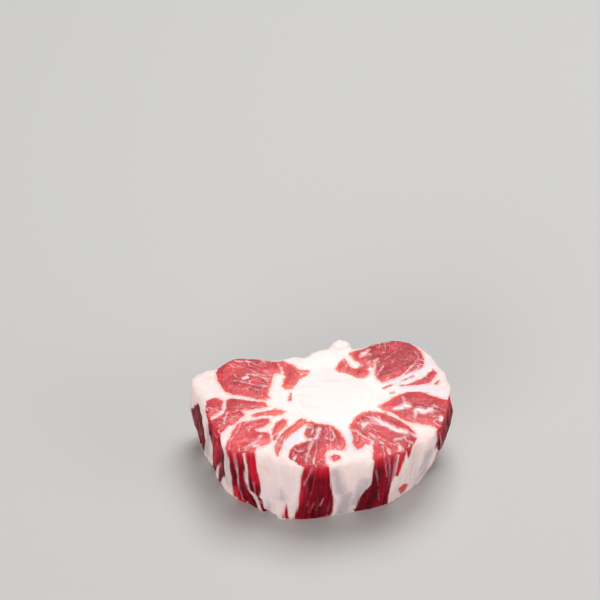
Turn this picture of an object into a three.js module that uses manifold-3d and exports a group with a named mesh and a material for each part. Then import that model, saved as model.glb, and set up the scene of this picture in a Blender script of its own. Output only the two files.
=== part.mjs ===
// A thick crosscut slice of raw oxtail, lying on one of its two sawn faces.
// Millimetres, +Z up. X runs across the slice, Y from its front to its back, and the cut face is on top.
// The tail's own axis is upright, so the bone, the muscles and the fat all run from the lower face to the upper.
import * as THREE from "three";
import Module from "manifold-3d";
import { mergeVertices } from "three/addons/utils/BufferGeometryUtils.js";

const wasm = await Module();
wasm.setup();

// Driving dimensions
const THICKNESS = 38; // one and a half inches, a butcher's usual crosscut
const GAP = 0.3; // between a muscle or the bone and the pocket that it lies in
const EDGE = 1; // the soft edge where the upper face meets the side
const FOOT_EDGE = 0.5; // the same at the foot, which its own weight presses flat
const WALL_BULGE = 0.7; // how far the fat swells between the two sawn faces
const WALL_STEP = 3; // spacing of the points round the outer wall
const MUSCLE_STEP = 2.5; // spacing of the points round a muscle
const BONE_SIDES = 40;
const LEVELS = [0, 0.5, 1]; // heights of a muscle's rings, as shares of the thickness

// The vertebra, an oval a little behind the middle of the slice
const BONE = { x: 4, y: 3, wide: 31, deep: 26.4, waist: 0.6 };

// The rim of the upper face, from the right end anticlockwise.
// The third number is how far the foot of the wall stands in from the rim, towards the bone.
const RIM = [
  [55.4, 8.4, 1.6],
  [53.6, 14.8, 2],
  [51.2, 21, 2.2],
  [47, 29, 2.4],
  [40, 34, 2.6],
  [32.5, 35.8, 2.6],
  [24, 34, 2.4],
  [16, 31.6, 2.2],
  [6, 31.9, 2],
  [-2, 30, 2],
  [-6.4, 26.2, 1.4],
  [-14, 25.9, 1.4],
  [-19, 24.2, 1.6],
  [-30, 24.6, 2],
  [-38, 24.4, 2.2],
  [-44, 19.8, 2],
  [-50, 17.6, 2],
  [-55.6, 13, 2],
  [-53.9, 7.7, 1.9],
  [-50.9, -0.2, 1.8],
  [-49.3, -5.2, 3],
  [-46.1, -12.3, 2],
  [-42.9, -18.3, 1.8],
  [-41.2, -24, 3.2],
  [-38, -27.4, 4.1],
  [-33, -28, 2.8],
  [-27, -28.4, 0.8],
  [-20, -31.2, -2.2],
  [-13.6, -33.8, 0.3],
  [-7, -35.6, 2.2],
  [2, -35.9, 3.9],
  [11.4, -35.3, 5.1],
  [24.3, -31.6, 4.9],
  [31, -29.4, 5.3],
  [36.2, -26.4, 5.1],
  [39.6, -22.4, 3.6],
  [45, -20.2, 5],
  [49.4, -15.6, 4.5],
  [52.4, -8.2, 3.2],
  [54, -1, 1.8],
];

// The muscles, each a closed outline on the upper face. Where one comes to the wall, its outline runs past the rim
// and the wall cuts it. A third number is how far the foot of that point lies round the bone from its top,
// anticlockwise, because the tail's muscles wind a little and widen towards the wall.
const MUSCLES = {
  lean_back_left: [
    [-44.8, 16],
    [-44, 20],
    [-41, 27],
    [-26, 27.4],
    [-23, 23.6],
    [-18.2, 23.2],
    [-17.7, 20.4],
    [-17.6, 17.2],
    [-20.2, 16],
    [-20.8, 12.4],
    [-22, 8.5],
    [-22.8, 4.6],
    [-21.6, 1.8],
    [-25, 1.4],
    [-34, 3.7],
    [-40.4, 5.7],
    [-43, 10],
  ],
  lean_back_left_inner: [
    [-16.4, 19.4],
    [-16.2, 22.4],
    [-13.6, 22.2],
    [-9.6, 18.5],
    [-8.6, 15],
    [-11, 9.5],
    [-13.2, 7.3],
    [-15.4, 7.6],
    [-16.6, 9.8],
    [-15.2, 14],
  ],
  lean_left: [
    [-40, 1.2],
    [-37.5, 2],
    [-33, 1.2],
    [-23, -0.9],
    [-22.2, -2],
    [-23.4, -3.1],
    [-31, -4.2],
    [-34.4, -4.4],
    [-32.7, -6.8],
    [-34, -9.2],
    [-36.5, -12.2],
    [-39.3, -13],
    [-41.2, -16.6],
    [-46, -20, -8],
    [-49.4, -14, -4],
    [-44.8, -9.4],
    [-42, -7.3],
    [-40.2, -4.2],
  ],
  lean_left_edge: [
    [-48.6, 0.6],
    [-46.6, 2.2],
    [-44.4, 2.3],
    [-42.1, 1.2],
    [-41.5, -1.6],
    [-42.4, -4.6],
    [-44.7, -6.6],
    [-46.6, -8.8],
    [-50.4, -11, -6],
    [-53, -6, -5],
  ],
  lean_left_strand: [
    [-30.2, -8.4],
    [-28, -6.7],
    [-24.6, -5.6],
    [-19.6, -4.4],
    [-15.6, -4.8],
    [-15, -6.3],
    [-19, -7.2],
    [-26.6, -7.9],
  ],
  lean_front_left: [
    [-37.2, -16.6],
    [-34.4, -11.8],
    [-29, -10.3],
    [-24.6, -9.2],
    [-21.4, -9.6],
    [-21.6, -11.6],
    [-25.4, -14.2],
    [-28.8, -15.5],
    [-26, -16.7],
    [-22, -17.3],
    [-21.4, -21],
    [-23.4, -24],
    [-27.6, -26, 1.5],
    [-28, -31.6, 2.5],
    [-42.4, -31, 0.5],
    [-42.6, -26.4],
    [-39.2, -22.4],
  ],
  lean_front_left_wedge: [
    [-14.4, -10.2],
    [-17.2, -10.2],
    [-19.8, -14],
    [-20.3, -18.6],
    [-18.9, -19.6],
    [-17.6, -16.8],
    [-15.2, -13.6],
  ],
  lean_front_crescent: [
    [-6.2, -9.9],
    [-9.2, -9.9],
    [-10.9, -12.8],
    [-14, -14.9],
    [-17.4, -19.4, 0.5],
    [-19.3, -25, 2.5],
    [-18.4, -29.6, 5],
    [-16.9, -25, 2.5],
    [-15, -20],
    [-12, -17],
    [-8.6, -13.6],
  ],
  lean_front_centre: [
    [-4.2, -11],
    [-1.5, -12.4],
    [2, -12.6],
    [5.2, -14],
    [8, -17],
    [10.4, -24.4],
    [9, -27.1],
    [4.8, -26],
    [1.9, -28],
    [1.2, -32.6, 1],
    [4.4, -40, 1],
    [-8.4, -40, -4],
    [-9.4, -34.6, -1.5],
    [-13.6, -30.6, 3],
    [-11.6, -24.8, 1.5],
    [-6, -21.6],
    [-7, -17.6],
  ],
  lean_front_island: [
    [3.5, -31.2, 1],
    [5.2, -29.4, 1],
    [7.6, -30, 1],
    [7.6, -31.6, 1],
    [5.2, -32.6, 1],
  ],
  lean_front_right: [
    [12.3, -13.4],
    [14.4, -9],
    [17.4, -6.4],
    [23.2, -5.5],
    [30, -8],
    [36, -13],
    [39.6, -18],
    [39.4, -25, -2],
    [36, -32, -3],
    [22.3, -36, -7],
    [21.8, -29, -4],
    [21.8, -24.2, -1],
    [18.6, -23.4],
    [15.6, -26.4],
    [13.8, -24.6],
    [13.2, -19],
  ],
  lean_right: [
    [24.4, -3.2],
    [26.6, -1],
    [34, 4.4],
    [42, 5.8],
    [50, 2.2],
    [57.4, 0],
    [56, -10],
    [51.6, -18.2],
    [46.6, -13.2],
    [41, -12.1],
    [37, -11],
    [30.4, -6.2],
  ],
  lean_right_strip: [
    [36.4, 9.3],
    [42, 10.2],
    [47, 10.9],
    [48.4, 14],
    [50.2, 17.6],
    [48.5, 18.5],
    [44.4, 14],
    [41, 12],
  ],
  lean_back_right: [
    [12.6, 28.4],
    [20.6, 32.2],
    [23, 38],
    [37, 39],
    [41.6, 32.4],
    [44, 27.6],
    [44.5, 21.6],
    [41, 18.3],
    [34, 15],
    [26.4, 11.2],
    [23.9, 13.8],
    [23.4, 17],
    [22.2, 21],
    [18.6, 21.4],
    [14.6, 24.4],
  ],
  lean_back_right_inner: [
    [6.5, 18.2],
    [8.6, 23.4],
    [10.6, 25.6],
    [11.8, 22.6],
    [13.4, 19.5],
    [18.8, 19.4],
    [20.9, 17],
    [19.8, 14.5],
    [16.6, 13.3],
    [12, 16.1],
  ],
};

// The knob of fat that stands up at the back edge
const KNOB = { x: 8.8, y: 32.6, z: 36.4, wide: 9.6, deep: 6.8, high: 6.6, turn: 8 };

const COLOURS = { fat: 0xf6e4dd, bone: 0xf8f0ea, lean: 0xc4404a };
const TAU = Math.PI * 2;

// Solids and meshes

function solidOf(geometry) {
  geometry.deleteAttribute("normal");
  geometry.deleteAttribute("uv");
  const merged = mergeVertices(geometry, 1e-4);
  return new wasm.Manifold(
    new wasm.Mesh({
      numProp: 3,
      vertProperties: merged.attributes.position.array,
      triVerts: new Uint32Array(merged.index.array),
    }),
  );
}

function geometryOf(solid) {
  const { vertProperties, triVerts } = solid.getMesh();
  const geometry = new THREE.BufferGeometry();
  geometry.setAttribute("position", new THREE.BufferAttribute(vertProperties, 3));
  geometry.setIndex(new THREE.BufferAttribute(triVerts, 1));
  return geometry.toNonIndexed();
}

// A cut through a lobe can leave crumbs beside the main body, which are dropped.
function largestBody(solid) {
  const bodies = solid.decompose();
  return bodies.reduce((best, body) => (body.volume() > best.volume() ? body : best));
}

function meshOf(name, solid, colour, roughness) {
  const geometry = geometryOf(solid);
  geometry.computeVertexNormals();
  const mesh = new THREE.Mesh(
    geometry,
    new THREE.MeshStandardMaterial({ color: colour, roughness, metalness: 0 }),
  );
  mesh.name = name;
  return mesh;
}

// A closed solid through rings of equally many [x, y, z] points, the lowest ring first, each anticlockwise from above.
// The end caps are the ends' own outlines cut into triangles.
function loft(rings) {
  const count = rings[0].length;
  const positions = rings.flat(2);
  const index = [];
  for (let level = 0; level + 1 < rings.length; level++) {
    for (let i = 0; i < count; i++) {
      const low = level * count + i;
      const lowNext = level * count + ((i + 1) % count);
      index.push(low, lowNext, lowNext + count, low, lowNext + count, low + count);
    }
  }
  const capOf = (ring) => {
    const flat = ring.map(([x, y]) => new THREE.Vector2(x, y));
    return THREE.ShapeUtils.triangulateShape(flat, []);
  };
  const top = (rings.length - 1) * count;
  for (const [a, b, c] of capOf(rings[0])) index.push(a, c, b);
  for (const [a, b, c] of capOf(rings[rings.length - 1])) index.push(top + a, top + b, top + c);
  const geometry = new THREE.BufferGeometry();
  geometry.setAttribute("position", new THREE.Float32BufferAttribute(positions, 3));
  geometry.setIndex(index);
  return solidOf(geometry);
}

// Outlines

// Evenly spaced [x, y, third] points on a smooth closed curve through the given ones, anticlockwise.
function smoothOutline(points, step) {
  const knots = points.map(([x, y, third = 0]) => new THREE.Vector3(x, y, third));
  const area = THREE.ShapeUtils.area(knots);
  if (area < 0) knots.reverse();
  const curve = new THREE.CatmullRomCurve3(knots, true, "centripetal");
  curve.arcLengthDivisions = points.length * 24;
  const count = Math.max(12, Math.round(curve.getLength() / step));
  return curve
    .getSpacedPoints(count)
    .slice(0, count)
    .map((p) => [p.x, p.y, p.z]);
}

// The outline moved outwards by a distance.
function swell(outline, distance) {
  const count = outline.length;
  return outline.map(([x, y, third], i) => {
    const [ax, ay] = outline[(i + count - 1) % count];
    const [bx, by] = outline[(i + 1) % count];
    const length = Math.hypot(bx - ax, by - ay);
    return [x + (distance * (by - ay)) / length, y - (distance * (bx - ax)) / length, third];
  });
}

const rimOutline = smoothOutline(RIM, WALL_STEP);

const fromBone = (x, y) => ({
  angle: (Math.atan2(y - BONE.y, x - BONE.x) + TAU) % TAU,
  radius: Math.hypot(x - BONE.x, y - BONE.y),
});

// The rim as a table of angle round the bone, radius and lean of the wall below.
const rimByAngle = smoothOutline(RIM, 0.5)
  .map(([x, y, lean]) => ({ ...fromBone(x, y), lean }))
  .sort((a, b) => a.angle - b.angle);

// A point of the upper face, carried down to height z and moved towards the bone by inset.
// The wall leans in by its own amount, and what lies between it and the bone follows in proportion.
function carried(x, y, z, inset = 0) {
  const { angle, radius } = fromBone(x, y);
  const found = rimByAngle.findIndex((entry) => entry.angle >= angle);
  const rim = rimByAngle[found < 0 ? 0 : found];
  const reach = Math.max(0, radius - BONE.wide / 2) / (rim.radius - BONE.wide / 2);
  const scale = 1 - ((1 - z / THICKNESS) * rim.lean * reach + inset) / radius;
  return [BONE.x + (x - BONE.x) * scale, BONE.y + (y - BONE.y) * scale, z];
}

// Sub-parts

// The whole slice: its wall leans, swells and has soft edges at both sawn faces.
function makeBody() {
  const profile = [
    [0, FOOT_EDGE],
    [FOOT_EDGE, 0],
    [THICKNESS * 0.3, -WALL_BULGE],
    [THICKNESS * 0.7, -WALL_BULGE],
    [THICKNESS - EDGE, 0],
    [THICKNESS - EDGE * 0.3, EDGE * 0.3],
    [THICKNESS, EDGE],
  ];
  return loft(profile.map(([z, inset]) => rimOutline.map(([x, y]) => carried(x, y, z, inset))));
}

// A muscle's solid, with its outline moved outwards by grow and its two ends run past the faces by overrun.
function makeMuscle(outline, grow, overrun) {
  const edge = swell(smoothOutline(outline, MUSCLE_STEP), grow);
  const rings = LEVELS.map((share) => {
    const z = share * THICKNESS;
    return edge.map(([x, y, drift]) => {
      const { radius } = fromBone(x, y);
      const aside = (drift * (1 - share)) / radius;
      return carried(x - (y - BONE.y) * aside, y + (x - BONE.x) * aside, z);
    });
  });
  const raised = (ring, by) => ring.map(([x, y, z]) => [x, y, z + by]);
  return loft([
    raised(rings[0], -overrun),
    ...rings.slice(1, -1),
    raised(rings[rings.length - 1], overrun),
  ]);
}

// The vertebra with its disc of cartilage: an oval column, narrower at mid height.
function makeVertebra(grow, overrun) {
  const heights = [-overrun, THICKNESS * 0.25, THICKNESS * 0.5, THICKNESS * 0.75, THICKNESS + overrun];
  const rings = heights.map((z) => {
    const waist = BONE.waist * Math.sin((Math.PI * Math.min(Math.max(z, 0), THICKNESS)) / THICKNESS);
    return Array.from({ length: BONE_SIDES }, (_, i) => {
      const angle = (TAU * i) / BONE_SIDES;
      const uneven = 1 + 0.012 * Math.cos(3 * angle + 0.6) + 0.008 * Math.cos(5 * angle);
      return [
        BONE.x + (BONE.wide / 2 - waist + grow) * uneven * Math.cos(angle),
        BONE.y + (BONE.deep / 2 - waist + grow) * uneven * Math.sin(angle),
        z,
      ];
    });
  });
  return loft(rings);
}

function makeKnob() {
  const geometry = new THREE.SphereGeometry(0.5, 16, 10);
  geometry.scale(KNOB.wide, KNOB.deep, KNOB.high);
  geometry.rotateX(Math.PI / 2);
  geometry.rotateZ((KNOB.turn * Math.PI) / 180);
  geometry.translate(KNOB.x, KNOB.y, KNOB.z);
  return solidOf(geometry);
}

// The slice

const body = makeBody();
const entries = Object.entries(MUSCLES);

// The fat and connective tissue: what is left of the slice once the bone and the muscles have their pockets.
let fat = body.add(makeKnob()).subtract(makeVertebra(GAP, 1));
for (const [, muscle] of entries) fat = fat.subtract(makeMuscle(muscle, GAP, 1));

const slice = new THREE.Group();
slice.add(meshOf("vertebra", makeVertebra(0, 0), COLOURS.bone, 0.4));
slice.add(meshOf("fat", largestBody(fat), COLOURS.fat, 0.45));
for (const [name, muscle] of entries) {
  const solid = largestBody(makeMuscle(muscle, 0, 1).intersect(body));
  slice.add(meshOf(name, solid, COLOURS.lean, 0.35));
}

// The origin is the middle of the underside.
const middle = new THREE.Box3().setFromObject(slice).getCenter(new THREE.Vector3());
slice.position.set(-middle.x, -middle.y, 0);

export default slice;
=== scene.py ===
import math

import bpy
import numpy as np
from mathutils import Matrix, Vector, noise
from mathutils.bvhtree import BVHTree


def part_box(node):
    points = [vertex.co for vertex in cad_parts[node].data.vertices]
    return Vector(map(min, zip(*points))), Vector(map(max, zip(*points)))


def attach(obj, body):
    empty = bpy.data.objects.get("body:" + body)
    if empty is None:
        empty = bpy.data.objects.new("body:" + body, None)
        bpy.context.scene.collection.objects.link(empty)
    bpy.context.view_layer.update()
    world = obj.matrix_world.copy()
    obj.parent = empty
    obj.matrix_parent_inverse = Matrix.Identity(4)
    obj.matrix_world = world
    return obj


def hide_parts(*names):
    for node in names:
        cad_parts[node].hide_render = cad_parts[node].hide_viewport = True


bl_info = {
    "name": "Raw oxtail slice",
    "version": (1, 0, 0),
    "blender": (4, 5, 0),
    "location": "View3D > Sidebar > Oxtail",
    "description": "Dresses the solids of a crosscut oxtail slice as raw beef, fat and cartilage",
    "category": "Object",
}

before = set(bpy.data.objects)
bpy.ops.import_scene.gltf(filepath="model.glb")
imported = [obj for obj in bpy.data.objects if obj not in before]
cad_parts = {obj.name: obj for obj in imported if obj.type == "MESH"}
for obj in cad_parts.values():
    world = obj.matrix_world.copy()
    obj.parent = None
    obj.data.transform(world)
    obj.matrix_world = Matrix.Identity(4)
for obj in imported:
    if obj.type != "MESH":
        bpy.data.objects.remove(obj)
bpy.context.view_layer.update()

MM = 0.001
MUSCLES = sorted(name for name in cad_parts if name.startswith("lean_"))
BONE_LOW, BONE_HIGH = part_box("vertebra")
BONE_X = (BONE_LOW.x + BONE_HIGH.x) / 2 / MM
BONE_Y = (BONE_LOW.y + BONE_HIGH.y) / 2 / MM
BONE_RADIUS = (BONE_HIGH.x - BONE_LOW.x) / 2 / MM
BONE_STRETCH = (BONE_HIGH.x - BONE_LOW.x) / (BONE_HIGH.y - BONE_LOW.y)
THICKNESS = BONE_HIGH.z / MM
UPWARDS = Vector((0.01, 0.02, 1)).normalized()
WALL_STEPS = 240
LEFT_CORNER = math.radians(167.7)

# The camera, from the photo's view of the slice
CAMERA_PLACE = Vector((-0.008947, -0.603534, 0.713765))
CAMERA_TILT = math.radians(44.5)
CAMERA_FIELD = math.radians(16)

# Fat and white tissue inside the muscles, on the cut face in millimetres: first width, last width, points
SEAMS = (
    (0.7, 0.9, ((-37, 11.6), (-34, 10.8), (-31, 10.1), (-28, 9.2), (-25.4, 8.7), (-22, 9.2))),
    (0.7, 0.9, ((-32, 15.4), (-29, 15.3), (-27.4, 14.9), (-26, 14), (-24, 13), (-22.6, 12.2))),
    (0.5, 0.9, ((-27, 15.2), (-24.4, 14.7), (-21.6, 15.2))),
    (2.0, 2.0, ((-32.9, 12.9), (-31.6, 13.8))),
    (0.7, 0.5, ((-37, 15), (-36.6, 14.2), (-35.6, 13.2))),
    (0.8, 0.5, ((-37, 22.8), (-33, 22.5), (-30, 22.3), (-28, 21))),
    (0.9, 1.1, ((-18.2, 21.6), (-16.8, 18), (-15.9, 14))),
    (0.7, 1.1, ((-39.4, -6.6), (-40.2, -9.4), (-41, -12.6))),
    (1.4, 1.0, ((-48.8, -3.8), (-48.2, -4.8))),
    (0.5, 0.8, ((-33.6, -11), (-34.2, -13.4), (-35.4, -17.6), (-37.6, -21))),
    (0.8, 1.0, ((-38.2, -24), (-38.8, -28.6))),
    (0.9, 1.6, ((-34.4, -26.8), (-33.8, -29))),
    (1.2, 0.8, ((-1, -14.4), (-0.9, -17.4), (-2, -20.8), (-3.8, -24), (-5.2, -26.8), (-5.8, -30), (-6.5, -33.6))),
    (1.6, 0.9, ((-8.8, -20.6), (-4.8, -21.2), (-1.8, -20.8))),
    (0.9, 0.8, ((-5.6, -12.6), (-3.8, -13.6), (-3.2, -15.6), (-4.6, -18.6))),
    (0.9, 0.8, ((3.7, -14.6), (4.7, -17.6), (5.5, -20.4), (4.6, -22), (1.8, -20.8))),
    (1.3, 0.8, ((6.8, -24.8), (7.6, -26))),
    (0.7, 0.6, ((-12.2, -25.2), (-9.8, -28), (-7.2, -27.4))),
    (1.7, 1.4, ((-11.3, -31.6), (-10.9, -30.8))),
    (1.0, 1.5, ((-2.8, -31.2), (-3.2, -34.2))),
    (1.2, 0.9, ((3.6, -31.9), (4.4, -31.2))),
    (0.9, 0.9, ((12, -15.6), (14.6, -16.8), (16.8, -19.1), (18.7, -21), (20.8, -21.8))),
    (0.7, 0.5, ((20.2, -18.3), (22.4, -19.8), (25.6, -22.2), (27, -22.4))),
    (0.9, 0.5, ((22.2, -16.2), (23.6, -17.2))),
    (0.6, 0.6, ((15.2, -18.4), (14.8, -22))),
    (0.8, 1.0, ((36.8, -22.4), (36.4, -25), (35.6, -27.6))),
    (0.5, 0.7, ((25.2, -25), (26, -28.6), (25.8, -31.6))),
    (1.2, 1.0, ((24.4, -23.6), (25.4, -24))),
    (0.7, 0.9, ((24, 15.4), (25.6, 18), (26.8, 20.2))),
    (0.5, 0.5, ((28, 24), (30.2, 26), (32.6, 28), (33.4, 29.8))),
    (0.8, 0.5, ((28.1, 33), (28.1, 29.8))),
    (0.8, 0.5, ((25.6, 27.4), (27.8, 28.2))),
    (0.7, 1.0, ((40.6, 29.4), (42, 26.4), (41.9, 23.2), (40.2, 21), (37.8, 18.6), (35.4, 15.6), (32.6, 13.6))),
    (0.9, 0.8, ((42.2, 24.4), (44.8, 24))),
    (0.6, 0.8, ((22.4, 32.4), (26, 33.4), (30.4, 34.2))),
)

# Soft masses of fat and pale tissue in the muscles, with feathered edges
CLOUDS = (
    (1.0, 2.2, ((35, 2.2), (35.2, 0), (35.8, -2.4))),
    (1.4, 3.6, ((30.6, -4.8), (33, -3.8), (36.5, -2.6))),
    (3.4, 1.4, ((36, -2.4), (37.7, -3.2))),
    (3.4, 4.0, ((40.8, -4.8), (41.6, -5.4), (43.4, -5.6))),
    (2.4, 0.6, ((40, -5.6), (39.5, -7.8), (39.6, -10))),
    (3.4, 2.2, ((43, -5.6), (45.6, -4.8))),
    (1.4, 0.6, ((45.8, -5.4), (47, -7.6))),
    (1.2, 0.6, ((47.6, -2.6), (48.8, -3.8))),
    (2.4, 2.6, ((50.5, -8.8), (50.7, -10.4))),
    (1.0, 3.6, ((20.6, -9.2), (23.4, -10.6), (25.6, -12.6))),
    (3.4, 2.7, ((25.6, -12.6), (29, -14.8), (33, -16.6))),
    (2.7, 1.8, ((33, -16.6), (36, -18), (39.4, -19.4))),
    (0.8, 1.0, ((24.2, -8.8), (25, -11))),
    (1.6, 2.4, ((19.6, -11.8), (18, -13.6))),
    (2.4, 0.8, ((18, -13.6), (17.4, -15.6))),
    (0.9, 0.7, ((20, -12), (22.4, -12.8), (24, -12.8))),
    (1.2, 1.7, ((30.8, -21.6), (33, -21), (34.8, -20.4))),
    (1.4, 0.8, ((34.8, -20.6), (35.6, -22.4))),
    (1.2, 1.6, ((32.4, -23.6), (32.6, -25.6), (32.2, -28))),
    (1.1, 0.8, ((27.4, -27.6), (28.4, -29.4))),
    (1.8, 2.8, ((21, -22.6), (19.9, -25.4), (18.9, -28.6))),
    (2.8, 3.4, ((11.6, 26.4), (13, 23), (14.6, 21.4))),
    (3.2, 1.4, ((14.6, 21.4), (17.4, 20.8))),
    (1.4, 2.8, ((20.6, 29.8), (19.6, 28), (18.6, 26.8))),
    (1.2, 0.6, ((18.8, 26.8), (17, 25.8))),
    (1.1, 0.6, ((19.6, 27.4), (21.6, 26.8))),
    (2.0, 1.3, ((22.2, 14), (22.6, 17), (23, 20))),
    (1.3, 0.9, ((23, 20), (23.4, 22.6), (24.4, 24))),
    (1.8, 1.2, ((-25.2, -19.8), (-25.7, -21.2))),
    (1.4, 1.2, ((-7.2, -13.8), (-5, -14.4), (-3.6, -15.4))),
    (2.0, 1.8, ((-1.2, -15.4), (-1.2, -18), (-2.2, -20.6))),
    (1.8, 1.0, ((-2.2, -20.6), (-3.8, -23.4), (-4.8, -26))),
    (1.6, 2.4, ((-7.6, -20.6), (-4.6, -21.6))),
    (1.0, 0.8, ((-25.8, -21.4), (-28.8, -24), (-31.4, -26.4), (-31.8, -29.6))),
    (0.9, 0.7, ((-29, -24.6), (-25.4, -25), (-22, -25.6))),
)

# Bluish tendon that shows in the fat between the muscles
TENDONS = (
    (2.6, 4.6, ((-10, -18.6), (-11.6, -20.6))),
    (4.6, 2.6, ((-11.6, -20.6), (-13, -22.6))),
    (1.0, 1.0, ((-14.4, -24.6), (-15, -28))),
    (2.6, 1.6, ((10.6, -18), (11.8, -20.6), (12.8, -25.6))),
    (1.8, 2.8, ((38, 15.6), (44, 18.8), (48, 23))),
    (1.2, 2.6, ((35, 8), (44, 7.8), (51, 6.4))),
    (1.8, 1.0, ((27, 11), (36, 12))),
    (1.0, 1.0, ((-1.1, -15.6), (-0.8, -18))),
    (1.6, 1.0, ((29, -15.2), (34, -17.2))),
    (1.2, 1.2, ((-18.4, 21), (-17, 18))),
)

# Thin threads of muscle that lie in the fat
THREADS = (
    (3.0, 0.8, ((-19, -16.4), (-19.6, -18.4), (-19.6, -21))),
    (3.6, 3.0, ((-8.2, -11.4), (-10.8, -13.8), (-13, -15.8))),
    (2.6, 2.2, ((-8, -11.8), (-5.4, -11.8), (-3.4, -12.6))),
    (2.4, 2.0, ((-18.2, -12.6), (-18.9, -15))),
    (0.8, 2.2, ((-13, 4.6), (-13.1, 2.6), (-12.8, 1.4))),
    (3.6, 1.2, ((-10, 17.6), (-7.6, 17.3), (-5.2, 17.8))),
    (2.6, 1.0, ((-10, 14.4), (-7.4, 15.2), (-5.8, 16))),
    (3.4, 3.0, ((-20.6, 22.2), (-16.6, 22), (-13.4, 20.4))),
    (1.6, 2.4, ((-18.6, 19.8), (-17.6, 17.4))),
    (5.0, 4.2, ((19.2, 24), (18.8, 21), (18.2, 18.6))),
    (1.3, 0.7, ((26.8, 8.1), (30.6, 9.8))),
    (0.8, 1.7, ((34, 9.4), (38, 10), (41.6, 10.9), (45, 11.8))),
    (1.1, 0.6, ((49.2, 10.4), (50.4, 12.4))),
    (0.5, 0.8, ((34.8, 12.6), (37, 13.7), (39.6, 15.2))),
    (0.5, 0.7, ((29.6, 5), (31, 5.4))),
)

# The wall, by millimetres round the rim from the left corner through the front, and height: where muscle comes
# to the surface, as the photo shows it in front and to match the cut face at the back
WALL_LEAN = (
    (7, 13, ((15, 29.5), (13.5, 25), (12.8, 20))),
    (13, 11, ((12.8, 20), (12.4, 14), (11.6, 10))),
    (11, 5, ((11.6, 10), (11, 5), (9, -1))),
    (14, 15, ((30.1, 39), (32.5, 34), (34.9, 30))),
    (15, 13, ((34.9, 30), (35.9, 25), (36.2, 19))),
    (6, 3, ((33.2, 19), (30.4, 12), (26.6, 6), (23.2, 0))),
    (6.4, 4, ((39, 19), (36.6, 13), (34.6, 8))),
    (4, 1.6, ((34.6, 8), (32.4, 3), (31, -1))),
    (5.0, 3.4, ((48, 39), (48.6, 33), (48.9, 28), (48.9, 20))),
    (3.2, 5.2, ((48.8, 20), (48.3, 13), (47.9, 6), (47.6, -1))),
    (2.8, 3.2, ((51.4, 39), (51.7, 34), (52, 29))),
    (3.0, 2.8, ((52.1, 29), (52, 24), (51.9, 19))),
    (2.8, 5.6, ((51.9, 19), (52.4, 14), (53.3, 9))),
    (5.6, 7.4, ((53.3, 9), (54, 5), (54.4, -1))),
    (3.8, 4.8, ((56.2, 39), (56.8, 32), (57.8, 25))),
    (5.2, 5.4, ((57.8, 25), (58.3, 20), (58.4, 15))),
    (5, 1.8, ((58.4, 15), (59.6, 10))),
    (1.8, 3.6, ((59.6, 10), (60.8, 7), (61.6, 2))),
    (0.4, 3.2, ((72.5, 12.3), (72.4, 7), (72.2, -1))),
    (10, 12, ((85.5, 39), (84.8, 30))),
    (12, 15, ((84.8, 30), (85, 20), (85.1, 15))),
    (15, 16.2, ((85.1, 15), (84.8, 10), (84.2, 5), (83.2, -1))),
    (10, 10.4, ((114.8, 39), (114.6, 30), (114.5, 20))),
    (10.4, 15.6, ((114.5, 20), (113, 15), (112, 10))),
    (15.6, 17.4, ((112, 10), (111.8, 5), (111.6, -1))),
    (3.6, 1.6, ((122.6, 39), (121.8, 33), (121, 27), (120.8, 23))),
    (5, 1.2, ((127, 39), (126, 36), (125.8, 32.5))),
    (24, 22, ((153, 39), (152.4, 30))),
    (22, 16, ((152.4, 30), (153.6, 20))),
    (16, 9, ((153.6, 20), (155.4, 10))),
    (9, 5, ((155.4, 10), (156.4, -1))),
    (20, 17.6, ((208, 39), (207.2, 30))),
    (17.6, 22, ((207.2, 30), (206, 18))),
    (22, 18.6, ((206, 18), (204.6, 8), (204, -1))),
    (22, 18.6, ((279.4, 39), (278.6, 31))),
    (18.6, 20.6, ((278.6, 31), (277, 20))),
    (20.6, 24, ((277, 20), (274.8, 9), (273.4, -1))),
)

# An orange-red scrap of muscle in the fat at the foot of the wall
WALL_SCRAPS = (
    (4.6, 5.6, ((127.8, 8), (128.8, 5.8))),
)

# Thin pale sheets between the bundles of muscle on the wall
WALL_SEAMS = (
    (1.6, 0.7, ((49.5, 38.5), (49.8, 34), (50.2, 29), (50.35, 22), (50.3, 5))),
    (1.3, 0.5, ((84, 39), (83, 34.5), (82, 31), (80.6, 27), (80.1, 24.5))),
    (0.3, 0.3, ((82.8, 21), (82, 16), (80.6, 10))),
    (0.2, 0.3, ((88.4, 15), (86.6, 10), (84.6, 5))),
    (0.3, 0.4, ((84.6, 13), (82, 4))),
    (0.5, 0.4, ((114.3, 38.5), (115, 31), (116.2, 23))),
    (0.5, 0.3, ((116, 37), (116.9, 29), (117.4, 20))),
    (1.0, 1.0, ((119.2, 39), (119.7, 32), (119.5, 26), (119.6, 20))),
    (0.4, 0.4, ((110.4, 31), (111.6, 26), (113, 18))),
    (0.3, 0.4, ((113.4, 15), (114.8, 6))),
    (1.3, 0.7, ((57.4, 18.5), (57.6, 14), (57.4, 11))),
    (0.9, 0.7, ((60.2, 6.6), (61, 5.4))),
    (0.4, 0.3, ((30.5, 38), (33.6, 30), (34.4, 22))),
    (0.9, 1.1, ((35.4, 16.5), (32.4, 11), (29, 4))),
    (0.5, 0.5, ((16.4, 22), (14.4, 15), (12, 8))),
    (0.5, 0.8, ((144.5, 34), (146, 24), (148, 12), (151, 1))),
    (0.4, 0.6, ((153, 30), (154.6, 18), (155.4, 8))),
    (0.6, 1.3, ((203, 38), (202.4, 28), (200.8, 16), (199, 4))),
    (0.3, 0.5, ((211, 36), (210.6, 22))),
    (0.3, 0.4, ((207.5, 20), (206, 4))),
    (1.2, 0.6, ((273, 38), (271.8, 30), (271.6, 20))),
    (0.4, 0.7, ((283.6, 30), (282.6, 14), (281, 2))),
    (0.3, 0.3, ((277.4, 22), (276, 8))),
)

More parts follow.
